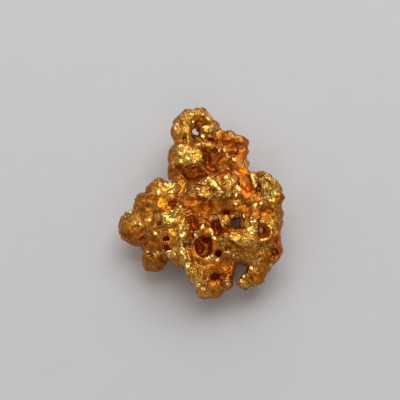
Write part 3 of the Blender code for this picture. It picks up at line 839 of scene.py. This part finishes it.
# %% Where they flash
# across, up, half width, half height, turn
FLASHES = [
    (-0.70, 8.40, 0.14, 0.16, 20), (0.70, 8.75, 0.16, 0.08, 0), (0.55, 7.85, 0.40, 0.09, 0),
    (0.30, 6.90, 0.16, 0.24, 0), (1.50, 7.85, 0.15, 0.12, 0), (-2.50, 7.70, 0.14, 0.30, -30),
    (-1.90, 5.95, 0.32, 0.16, 10), (-1.40, 5.70, 0.08, 0.18, 0), (-1.20, 4.70, 0.26, 0.12, 0),
    (-2.00, 5.20, 0.20, 0.10, 0), (0.10, 6.20, 0.16, 0.10, 0), (2.80, 5.00, 0.12, 0.26, 20),
    (3.40, 4.60, 0.12, 0.20, 30), (2.40, 5.50, 0.10, 0.16, 0), (0.95, 2.80, 0.14, 0.24, -20),
    (0.60, 2.45, 0.12, 0.16, -20), (1.45, 2.15, 0.20, 0.34, 10), (1.10, 2.05, 0.10, 0.14, 0),
    (1.90, 1.70, 0.14, 0.20, 30), (2.60, 2.75, 0.16, 0.18, 0), (3.35, 2.40, 0.22, 0.24, 0),
    (3.85, 1.75, 0.16, 0.28, 0), (5.35, 2.35, 0.18, 0.80, 10), (0.10, 1.05, 0.20, 0.10, 10),
    (2.25, 1.25, 0.22, 0.12, 0), (1.60, 0.85, 0.44, 0.14, 20), (0.75, 0.45, 0.12, 0.14, 0),
    (2.90, 1.00, 0.12, 0.22, 0), (3.60, 1.00, 0.10, 0.26, 0), (3.55, 0.10, 0.12, 0.12, 0),
    (-0.20, 1.60, 0.14, 0.10, 0), (-2.00, -0.15, 0.20, 0.12, 20), (-3.20, 2.05, 0.40, 0.22, 0),
    (-2.90, 1.35, 0.26, 0.16, 20), (-2.40, 1.45, 0.22, 0.18, 0), (-4.10, 1.20, 0.14, 0.26, 0),
    (-3.35, -1.15, 0.24, 0.20, 0), (-2.80, -1.45, 0.30, 0.14, 30), (-3.50, -3.60, 0.10, 0.18, 0),
    (-2.90, -4.75, 0.48, 0.28, -15), (-1.72, -4.95, 0.24, 0.62, 5), (-1.55, -2.10, 0.18, 0.30, 0),
    (-1.75, -2.90, 0.20, 0.40, 0), (-1.20, -5.95, 0.20, 0.16, 0), (-0.40, -3.00, 0.14, 0.24, 10),
    (0.30, -2.20, 0.20, 0.22, 0), (1.10, -2.45, 0.14, 0.20, 0), (1.35, -3.20, 0.18, 0.18, 0),
    (1.95, -1.50, 0.38, 0.14, -25), (2.20, -1.90, 0.16, 0.24, 30), (1.35, -1.30, 0.20, 0.10, 0),
    (0.90, -5.15, 0.24, 0.10, 20), (1.25, -4.95, 0.08, 0.16, 0), (0.70, -5.25, 0.16, 0.08, 0),
    (1.65, -5.40, 0.16, 0.10, 20), (2.70, -4.60, 0.34, 0.08, 0), (2.20, -3.75, 0.26, 0.10, -20),
    (3.30, -5.00, 0.10, 0.22, 20), (5.25, -1.60, 0.28, 0.24, 0), (4.85, -2.35, 0.22, 0.20, 30),
    (5.10, -2.75, 0.16, 0.16, 0), (5.60, -2.35, 0.16, 0.28, 0), (6.15, -1.60, 0.16, 0.12, 0),
    (6.90, -2.10, 0.26, 0.10, -20), (6.30, -3.35, 0.34, 0.10, 10), (5.40, -4.00, 0.16, 0.16, 0),
    (2.75, -7.70, 0.16, 0.12, 0), (2.60, -7.20, 0.14, 0.14, 0), (0.10, -6.80, 0.16, 0.30, 30),
    (-0.30, -7.60, 0.12, 0.24, 20), (0.30, -8.20, 0.22, 0.14, 0), (4.30, -7.00, 0.14, 0.14, 0),
    (5.05, -6.20, 0.10, 0.24, 0), (7.00, -5.90, 0.16, 0.16, 0), (6.90, -3.95, 0.16, 0.10, 0),
    (7.30, 1.20, 0.22, 0.30, 0), (6.30, 1.90, 0.22, 0.18, 0), (6.90, 0.50, 0.18, 0.14, 0),
    (-5.20, -4.60, 0.24, 0.10, 0), (-4.60, -4.85, 0.20, 0.08, 0), (-5.00, -1.45, 0.20, 0.10, 20),
    (-5.90, -1.90, 0.14, 0.14, 0), (-6.90, -0.70, 0.12, 0.12, 0), (-4.40, -2.80, 0.14, 0.18, 0),
    (4.30, -1.10, 0.08, 0.22, 0), (6.10, 0.15, 0.10, 0.20, 0), (5.50, 0.10, 0.14, 0.20, 0),
]
print(len(FLASHES), "mirror faces")


# %% Set the mirror faces
FLASH_LEAN = 0.02                           # how far one may lean from a perfect mirror
FLASH_EDGE = 1.3                            # 1 is the drawn ellipse; a little more is pulled too
FLASH_DEEP = 0.25                           # points farther than this from the plane stay, mm


def mirror_faces(made):
    """Pulls the points near each spot onto a plane that flashes; 1 for each point it pulled."""
    tree = tree_of(made)
    places = KDTree(len(made.data.vertices))
    for corner in made.data.vertices:
        places.insert(corner.co, corner.index)
    places.balance()
    polish = [0.0] * len(made.data.vertices)
    for across, up, wide, tall, turn in FLASHES:
        place, _ = skin_at(tree, across, up)
        tilt = (MIRROR_TILT + random_lean(FLASH_LEAN)).normalized()
        to_face = frame_from(tilt, turn).transposed()
        for _, index, _ in places.find_range(place, max(wide, tall) * 1.5):
            corner = made.data.vertices[index]
            x, y, z = to_face @ (corner.co - place)
            if (x / wide) ** 2 + (y / tall) ** 2 < FLASH_EDGE and abs(z) < FLASH_DEEP:
                corner.co -= tilt * z
                polish[index] = 1.0
    made.data.update()
    return polish


polish = mirror_faces(gold)
print(sum(value > 0 for value in polish), "points on mirror faces")

# %% [markdown]
# ## What the river wore
#
# Sand polishes the crests of the skin and leaves the creases between them alone. The Geometry
# node's Pointiness knows this too, but only while rendering. Here it is read by comparing the skin
# with a softened copy: what softening would take away is a crest, what it would fill a crease.

# %% How far each point stands out
FULL_CREST = 0.035                          # a crest this high is worn all over, mm


def standing_out(made, times):
    soft = object_of(form_of(made), "soft_copy")
    soften(soft, times)
    heights = [(corner.co - other.co).dot(corner.normal)
               for corner, other in zip(made.data.vertices, soft.data.vertices)]
    bpy.data.objects.remove(soft)
    return heights


def store(made, name, values):
    field = made.data.attributes.new(name, "FLOAT", "POINT")
    field.data.foreach_set("value", values)


# Crests are later painted pale, partly worn gold and partly a painted highlight; creases are painted
# darker, partly painted shade.
store(gold, "polish", polish)
store(gold, "crest", [min(1.0, max(-1.0, h / FULL_CREST)) for h in standing_out(gold, times=5)])
report("crests", gold)

# %% [markdown]
# ## Fewer triangles
#
# Clay with an even grain spends as many triangles on a flat face as on a crest. The Decimate
# modifier merges them where the skin bends least, and carries the stored values along. A coarser
# remesh would be as small, but would blunt every crest.

# %% Thin out
MOST_TRIANGLES = 196_000
gold.data.calc_loop_triangles()
before = len(gold.data.loop_triangles)
fewer = gold.modifiers.new("thin_out", "DECIMATE")
fewer.ratio = min(1.0, MOST_TRIANGLES / before)
bake(gold)
report(f"thinned from {before} triangles", gold)

# %% [markdown]
# ## Where the river never reached
#
# Deep places keep a red-brown skin of iron oxide, and high places are burnished bright, partly
# painted as a highlight. The less sky a point sees, the deeper red-orange it is painted: partly that
# oxide, partly painted shade and the orange of light reflected many times. The Ambient Occlusion node
# would find them while rendering, and an export would lose it. Rays from each point of the skin count
# how much of the sky it sees, and that share is stored on the points.

# %% Openness of every point
RAYS = 12
REACH = 3.0                                 # how far a ray looks for gold in its way, mm
CLEAR = 0.03                                # how far above the skin it starts, mm


def sky_directions(count):
    """Even directions over a hemisphere about +Z, by the golden angle."""
    for k in range(count):
        height = math.sqrt((k + 0.5) / count)
        flat = math.sqrt(1.0 - height * height)
        turn = k * math.pi * (3.0 - math.sqrt(5.0))
        yield Vector((flat * math.cos(turn), flat * math.sin(turn), height))


def openness(made):
    tree = tree_of(made)
    rays = list(sky_directions(RAYS))
    shares = []
    for corner in made.data.vertices:
        turn = corner.normal.to_track_quat("Z", "Y")
        start = corner.co + corner.normal * CLEAR
        free = sum(tree.ray_cast(start, turn @ ray, REACH)[0] is None for ray in rays)
        shares.append(free / RAYS)
    return shares


shares = openness(gold)
store(gold, "openness", shares)
report(f"openness, mean {sum(shares) / len(shares):.2f}", gold)


# %% Stains, wear and the painted glow over the whole skin
STAIN_SIZE = 1.6                            # mm


def patch_values(made, patches, seed):
    """Patches where the eye looks, and a noise of like size where it does not."""
    values = []
    for corner in made.data.vertices:
        cloud = noise.fractal(corner.co / STAIN_SIZE + Vector((seed, 0, 0)), 1.0, 2.0, 3)
        cloud = clamp(0.2 + 2.2 * cloud)
        facing = seen_share(corner.normal)
        values.append(facing * patch_at(patches, corner.co) + (1.0 - facing) * cloud)
    return values


for name, patches, seed in (("rust", RUST, 4.0), ("orange_glow", ORANGE_GLOW, 17.0), ("burnish", BURNISH, 31.0)):
    values = patch_values(gold, patches, seed)
    store(gold, name, values)
    print(name, "covers", round(100 * sum(values) / len(values)), "% of the points")

# %% Shrink to metres
gold.data.transform(Matrix.Scale(MM, 4))
gold.data.shade_smooth()
report("stains", gold)

# %% [markdown]
# ## Native gold
#
# The metal is native gold with a little silver. It grew as crystals in a vein, was tumbled in a
# river, and took on a film of iron oxide. To the eye it is a warm yellow metal with pale, nearly
# white-yellow flashes on its worn crests, thin olive-brown lines where two crystals meet, and orange
# to red-brown in its hollows, where the film lies and every ray is reflected many times. Here the
# pale flashes are partly painted highlights, the dark at the foot of each curl, in the creases and in
# the deep hollows is partly painted shade, and the bright orange of the smooth bowls is a painted
# glow of reflected light.
#
# One flat gold would look like plastic. The stains, the wear and the openness were measured on the
# skin, so the nodes only turn them into colour, and the fine patterns are worked out from sizes.

# %% Colours and nodes
MATH, RANGE, MIX = "ShaderNodeMath", "ShaderNodeMapRange", "ShaderNodeMixRGB"
NOISE, CELLS, VECTOR = "ShaderNodeTexNoise", "ShaderNodeTexVoronoi", "ShaderNodeVectorMath"


def linear(hex_colour):
    """sRGB hex to linear RGBA."""
    values = [int(hex_colour[k:k + 2], 16) / 255 for k in (1, 3, 5)]
    return tuple(v / 12.92 if v <= 0.04045 else ((v + 0.055) / 1.055) ** 2.4 for v in values) + (1.0,)


def add(tree, kind, inputs=(), **settings):
    """Adds a node. Settings are its properties. Inputs name or number its sockets, and feed each
    with a value, with another node's socket, or with another node, which means its first socket."""
    node = tree.nodes.new(kind)
    for name, value in settings.items():
        setattr(node, name, value)
    for socket, source in dict(inputs).items():
        if isinstance(source, bpy.types.Node):
            source = source.outputs[0]
        if isinstance(source, bpy.types.NodeSocket):
            tree.links.new(source, node.inputs[socket])
        else:
            node.inputs[socket].default_value = source
    return node


# %% What was measured on the skin
native_gold = bpy.data.materials.new("native_gold")
native_gold.use_nodes = True
tree = native_gold.node_tree
shader = tree.nodes["Principled BSDF"]
where = add(tree, "ShaderNodeTexCoord").outputs["Object"]
measured = {name: add(tree, "ShaderNodeAttribute", attribute_name=name).outputs["Fac"]
            for name in ("crest", "openness", "rust", "orange_glow", "burnish", "polish")}
bare = add(tree, RANGE, {"Value": measured["burnish"], "To Min": 0.15, "To Max": 1.0})
half_bare = add(tree, RANGE, {"Value": measured["burnish"], "To Min": 0.45, "To Max": 1.0})
print("the material reads", ", ".join(measured))

# %% Patterns in the metal
CLOUD_MM = 1.1                              # slow drift of the alloy's colour
SPECK_MM = 0.26                             # specks of oxide
GRAIN_MM = 0.11                             # scoured by sand; drawn ten times as coarse as it is
CRYSTAL_MM = 0.42                           # crystals that grew together
BEND_MM = 0.45                              # their borders wander at this scale,
BEND_BY_MM = 0.30                           # by this much
cloud = add(tree, NOISE, {"Vector": where, "Scale": 1 / (CLOUD_MM * MM), "Detail": 3.0})
speck = add(tree, NOISE, {"Vector": where, "Scale": 1 / (SPECK_MM * MM), "Detail": 2.0})
grain = add(tree, NOISE, {"Vector": where, "Scale": 1 / (GRAIN_MM * MM), "Detail": 4.0})
bend = add(tree, NOISE, {"Vector": where, "Scale": 1 / (BEND_MM * MM), "Detail": 2.0})
bent = add(tree, VECTOR, {0: bend.outputs["Color"], 1: (BEND_BY_MM * MM,) * 3, 2: where},
           operation="MULTIPLY_ADD")
bent = add(tree, "ShaderNodeMapping", {"Vector": bent, "Scale": (1.0, 0.65, 1.0)})
crystals = add(tree, CELLS, {"Vector": bent, "Scale": 1 / (CRYSTAL_MM * MM)})
borders = add(tree, CELLS, {"Vector": bent, "Scale": 1 / (CRYSTAL_MM * MM)},
              feature="DISTANCE_TO_EDGE")

# %% Curls of foil
# The contour lines of a noise are long thin worms, just as the curled edges of beaten gold are.
CURL_MM = 1.00                              # size of the noise's hills
CURL_STEP = 0.09                            # half the height between two contours
PIECE_MM = 0.60                             # the curls are broken into pieces of this size
hills = add(tree, NOISE, {"Vector": bent, "Scale": 1 / (CURL_MM * MM), "Detail": 1.0})
line = add(tree, MATH, {0: hills, 1: CURL_STEP}, operation="PINGPONG")
pieces = add(tree, NOISE, {"Vector": where, "Scale": 1 / (PIECE_MM * MM), "Detail": 1.0})
pieces = add(tree, RANGE, {"Value": pieces, "From Min": 0.45, "From Max": 0.53})
smooth = add(tree, MATH, {0: measured["rust"], 1: 0.5}, operation="MULTIPLY")
smooth = add(tree, MATH, {0: smooth, 1: measured["orange_glow"]}, operation="MAXIMUM")
crumpled = add(tree, RANGE, {"Value": smooth, "To Min": 1.0, "To Max": 0.1})
crumpled = add(tree, MATH, {0: crumpled, 1: half_bare}, operation="MULTIPLY")
pieces = add(tree, MATH, {0: pieces, 1: crumpled}, operation="MULTIPLY")
# The top of each curl is painted pale, a painted highlight, and a band at its foot dark, a painted
# shade.
curl_highlight = add(tree, RANGE, {"Value": line, "From Min": 0.024, "From Max": 0.012})
curl_shade = add(tree, RANGE, {"Value": line, "From Min": 0.046, "From Max": 0.030})
curl_shade = add(tree, MATH, {0: curl_shade, 1: curl_highlight}, operation="SUBTRACT", use_clamp=True)
curl_highlight = add(tree, MATH, {0: curl_highlight, 1: pieces}, operation="MULTIPLY")
curl_shade = add(tree, MATH, {0: curl_shade, 1: pieces}, operation="MULTIPLY")

# %% Where it shines and where it is dark
# Worn crests, a few random crystal cells, the top of each curl and the mirror faces are painted pale
# yellow: partly bare worn gold, partly a painted highlight.
worn = add(tree, RANGE, {"Value": measured["crest"], "From Min": 0.20, "From Max": 0.70})
chosen = add(tree, "ShaderNodeSeparateColor", {"Color": crystals.outputs["Color"]})
spark = add(tree, RANGE, {"Value": chosen, "From Min": 0.82, "From Max": 0.88, "To Max": 0.6})
wear_and_highlight = add(tree, MATH, {0: worn, 1: spark}, operation="MAXIMUM")
wear_and_highlight = add(tree, MATH, {0: wear_and_highlight, 1: bare}, operation="MULTIPLY")
wear_and_highlight = add(tree, MATH, {0: wear_and_highlight, 1: curl_highlight}, operation="MAXIMUM")
wear_and_highlight = add(tree, MATH, {0: wear_and_highlight, 1: measured["polish"]}, operation="MAXIMUM")
seam = add(tree, RANGE, {"Value": borders, "From Min": 0.07, "From Max": 0.0, "To Max": 0.5})
seam = add(tree, MATH, {0: seam, 1: bare}, operation="MULTIPLY")
# Dark lines: the seams between crystals, and the painted shade at the foot of each curl.
seam_and_curl_shade = add(tree, MATH, {0: curl_shade, 1: 0.65}, operation="MULTIPLY")
seam_and_curl_shade = add(tree, MATH, {0: seam_and_curl_shade, 1: seam}, operation="MAXIMUM")
# The less sky a point sees, the deeper red-orange it is painted: partly oxide film, partly painted
# shade and the orange of light reflected many times.
pit_film_and_shade = add(tree, RANGE, {"Value": measured["openness"], "From Min": 0.45, "From Max": 0.05})
# The creases are painted a darker brown: partly oxide left there, partly painted shade.
crease_film_and_shade = add(tree, RANGE, {"Value": measured["crest"], "From Min": -0.15, "From Max": -0.9,
                                "To Max": 0.6})
speck_film = add(tree, RANGE, {"Value": speck, "From Min": 0.52, "From Max": 0.72, "To Max": 0.25})
# the middle of each glow patch is painted a brighter orange: a painted glow of reflected light
glow_core = add(tree, RANGE, {"Value": measured["orange_glow"], "From Min": 0.75, "From Max": 1.0})

# %% Colour, one film over the other
colour = add(tree, MIX, {0: cloud, 1: linear("#a8631c"), 2: linear("#c47e26")})
FILMS = [                                   # where it lies, how thick at most, its colour
    (measured["burnish"], 0.80, "#ffbc42"),
    (measured["rust"], 0.90, "#b95c0c"),
    # the next two are a painted orange glow of light reflected in the bowls, not a film
    (measured["orange_glow"], 0.90, "#f58a14"),
    (glow_core, 0.90, "#ffb41e"),
    (speck_film, 1.0, "#9a5420"),
    # deep red-orange where little sky reaches: partly oxide, partly painted shade and reflected
    # orange
    (pit_film_and_shade, 1.0, "#cc641e"),
    # darker brown in the creases: partly oxide, partly painted shade
    (crease_film_and_shade, 1.0, "#a85c1e"),
    # pale yellow: partly worn gold, partly a painted highlight
    (wear_and_highlight, 1.0, "#ffd880"),
    # dark seams between crystals, and painted shade at the foot of each curl
    (seam_and_curl_shade, 1.0, "#76491a"),
]
for lies, most, film_colour in FILMS:
    amount = add(tree, MATH, {0: lies, 1: most}, operation="MULTIPLY")
    colour = add(tree, MIX, {0: amount, 1: colour, 2: linear(film_colour)})
tree.links.new(colour.outputs[0], shader.inputs["Base Color"])
print(len(FILMS), "films over the metal")

# %% Metal and film
# The film is a mineral, so the gold reads as less of a metal where it is thick.
UNDER_FILM = 0.78                           # how much of a metal it still is there
film = add(tree, MATH, {0: measured["rust"], 1: 0.5}, operation="MULTIPLY")
film = add(tree, MATH, {0: film, 1: pit_film_and_shade}, operation="MAXIMUM")
metal = add(tree, RANGE, {"Value": film, "To Min": 1.0, "To Max": UNDER_FILM})
tree.links.new(metal.outputs[0], shader.inputs["Metallic"])

# %% Roughness
SMOOTHEST = 0.11
rough = add(tree, RANGE, {"Value": speck, "From Min": 0.3, "From Max": 0.7,
                          "To Min": 0.24, "To Max": 0.44})
for lies, change in ((measured["burnish"], -0.04), (measured["rust"], 0.04), (wear_and_highlight, -0.30)):
    rough = add(tree, MATH, {0: lies, 1: change, 2: rough}, operation="MULTIPLY_ADD")
rough = add(tree, MATH, {0: rough, 1: SMOOTHEST}, operation="MAXIMUM")
tree.links.new(rough.outputs[0], shader.inputs["Roughness"])

# %% Relief too fine to model
# Grain first, then curls, then crystals that each lean their own way. Polished faces have next
# to none of it.
GRAIN_HIGH_MM = 0.012
CURL_HIGH_MM = 0.05
dull = add(tree, RANGE, {"Value": measured["polish"], "To Min": 1.0, "To Max": 0.05})
half_dull = add(tree, MATH, {0: dull, 1: 0.5}, operation="MULTIPLY")
relief = add(tree, "ShaderNodeBump", {"Height": grain, "Strength": half_dull,
                                      "Distance": GRAIN_HIGH_MM * MM})
curl_rise = add(tree, RANGE, {"Value": line, "From Min": 0.045, "From Max": 0.0})
curl_rise = add(tree, MATH, {0: curl_rise, 1: pieces}, operation="MULTIPLY")
relief = add(tree, "ShaderNodeBump", {"Height": curl_rise, "Strength": dull, "Normal": relief,
                                      "Distance": CURL_HIGH_MM * MM})
offset = add(tree, VECTOR, {0: bent, 1: crystals.outputs["Position"]}, operation="SUBTRACT")
lean = add(tree, VECTOR, {0: crystals.outputs["Color"], 1: (0.5, 0.5, 0.5)}, operation="SUBTRACT")
tilt = add(tree, VECTOR, {0: offset, 1: lean}, operation="DOT_PRODUCT").outputs["Value"]
steep = add(tree, RANGE, {"Value": measured["burnish"], "To Min": 0.25, "To Max": 0.36})
tilt = add(tree, MATH, {0: tilt, 1: steep}, operation="MULTIPLY")
relief = add(tree, "ShaderNodeBump", {"Height": tilt, "Strength": dull, "Normal": relief,
                                      "Distance": 1.0})
tree.links.new(relief.outputs[0], shader.inputs["Normal"])
print(len(tree.nodes), "nodes in", native_gold.name)

# %% Dress the solid
gold.data.materials.clear()
gold.data.materials.append(native_gold)
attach(gold, "root")
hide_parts("nugget")

# %% [markdown]
# ## Paper
#
# The nugget lies on a sheet of smooth white paper, which is not part of it. Paper is matt, and
# its fibres drift a little in tone. A plane is enough, because the sheet shows no edge.

# %% Smooth white paper
FIBRE_MM = 3.0                              # fibres clump; drawn as coarse as it shows
HALF_SHEET = 0.6                            # m
pale_paper = bpy.data.materials.new("pale_paper")
pale_paper.use_nodes = True
tree = pale_paper.node_tree
shader = tree.nodes["Principled BSDF"]
where = add(tree, "ShaderNodeTexCoord").outputs["Object"]
fibres = add(tree, NOISE, {"Vector": where, "Scale": 1 / (FIBRE_MM * MM), "Detail": 3.0})
tone = add(tree, MIX, {0: fibres, 1: linear("#dadadc"), 2: linear("#dedee0")})
tree.links.new(tone.outputs[0], shader.inputs["Base Color"])
shader.inputs["Roughness"].default_value = 0.9

form = bmesh.new()
bmesh.ops.create_grid(form, x_segments=1, y_segments=1, size=HALF_SHEET)
paper = object_of(form, "paper")
paper.data.materials.append(pale_paper)
print("paper, m:", [round(side, 2) for side in paper.dimensions])

# %% [markdown]
# ## Light
#
# Gold shows what stands around it more than it shows itself. Wide dim panels and a warm grey room
# give its faces something to reflect from every side, and two small bright windows give the
# flashes. A sun lamp would leave the metal black wherever it does not flash.

# %% The room
world = bpy.data.worlds.new("room")
bpy.context.scene.world = world
world.use_nodes = True
walls = world.node_tree.nodes["Background"]
walls.inputs["Color"].default_value = linear("#cecac5")
walls.inputs["Strength"].default_value = 0.33
print("room:", [round(v, 2) for v in walls.inputs["Color"].default_value[:3]])


# %% Panels and windows
def soft_light(name, direction, distance, size, brightness):
    """A square panel that faces the nugget; brightness is what a mirror there would show."""
    lamp = bpy.data.lights.new(name, "AREA")
    lamp.size = size
    lamp.energy = brightness * math.pi * size * size
    made = bpy.data.objects.new(name, lamp)
    bpy.context.scene.collection.objects.link(made)
    made.location = Vector(direction).normalized() * distance
    made.rotation_euler = Vector(direction).to_track_quat("Z", "Y").to_euler()


# name: direction, distance, size, brightness
LIGHTS = {
    "top_panel": ((0.10, 0.50, 1.0), 0.30, 0.30, 1.75),
    "right_panel": ((1.0, 0.35, 0.50), 0.30, 0.20, 0.5),
    "left_panel": ((-1.0, 0.20, 0.55), 0.30, 0.20, 0.6),
    "back_panel": ((0.0, 1.0, 0.30), 0.35, 0.25, 1.0),
    "front_panel": ((0.1, -1.0, 0.9), 0.35, 0.25, 0.6),
    "window": (TO_WINDOW, 0.30, 0.05, 2.8),
    "left_window": ((-0.60, -0.10, 0.80), 0.30, 0.06, 2.8),
}
for name, setting in LIGHTS.items():
    soft_light(name, *setting)
print(len(LIGHTS), "lights")

# %% [markdown]
# ## Camera
#
# A long lens from a little over a hand's length away, looking down the sight line that placed
# every detail. A short lens would make the near lobes look larger than they are.

# %% The eye
LENS = 200.0                                # mm
FRAME_MM = 40.0                             # what the frame takes in at the nugget
FRAME_UP = 0.5                              # the frame's middle, up the face from its zero, mm
FACE_HEIGHT = 4.2                           # the face is nearer to the eye than the paper, mm
eye = bpy.data.cameras.new("eye")
eye.lens = LENS
eye.clip_start = 0.01
camera = bpy.data.objects.new("eye", eye)
bpy.context.scene.collection.objects.link(camera)
distance = FRAME_MM * LENS / eye.sensor_width + FACE_HEIGHT
camera.location = (on_table(0.0, FRAME_UP) + TO_EYE * distance) * MM
camera.rotation_euler = (math.pi / 2 - LOOK_DOWN, 0.0, 0.0)
bpy.context.scene.camera = camera
bpy.context.scene.view_settings.view_transform = "Standard"
print("the eye is", round(distance), "mm away")
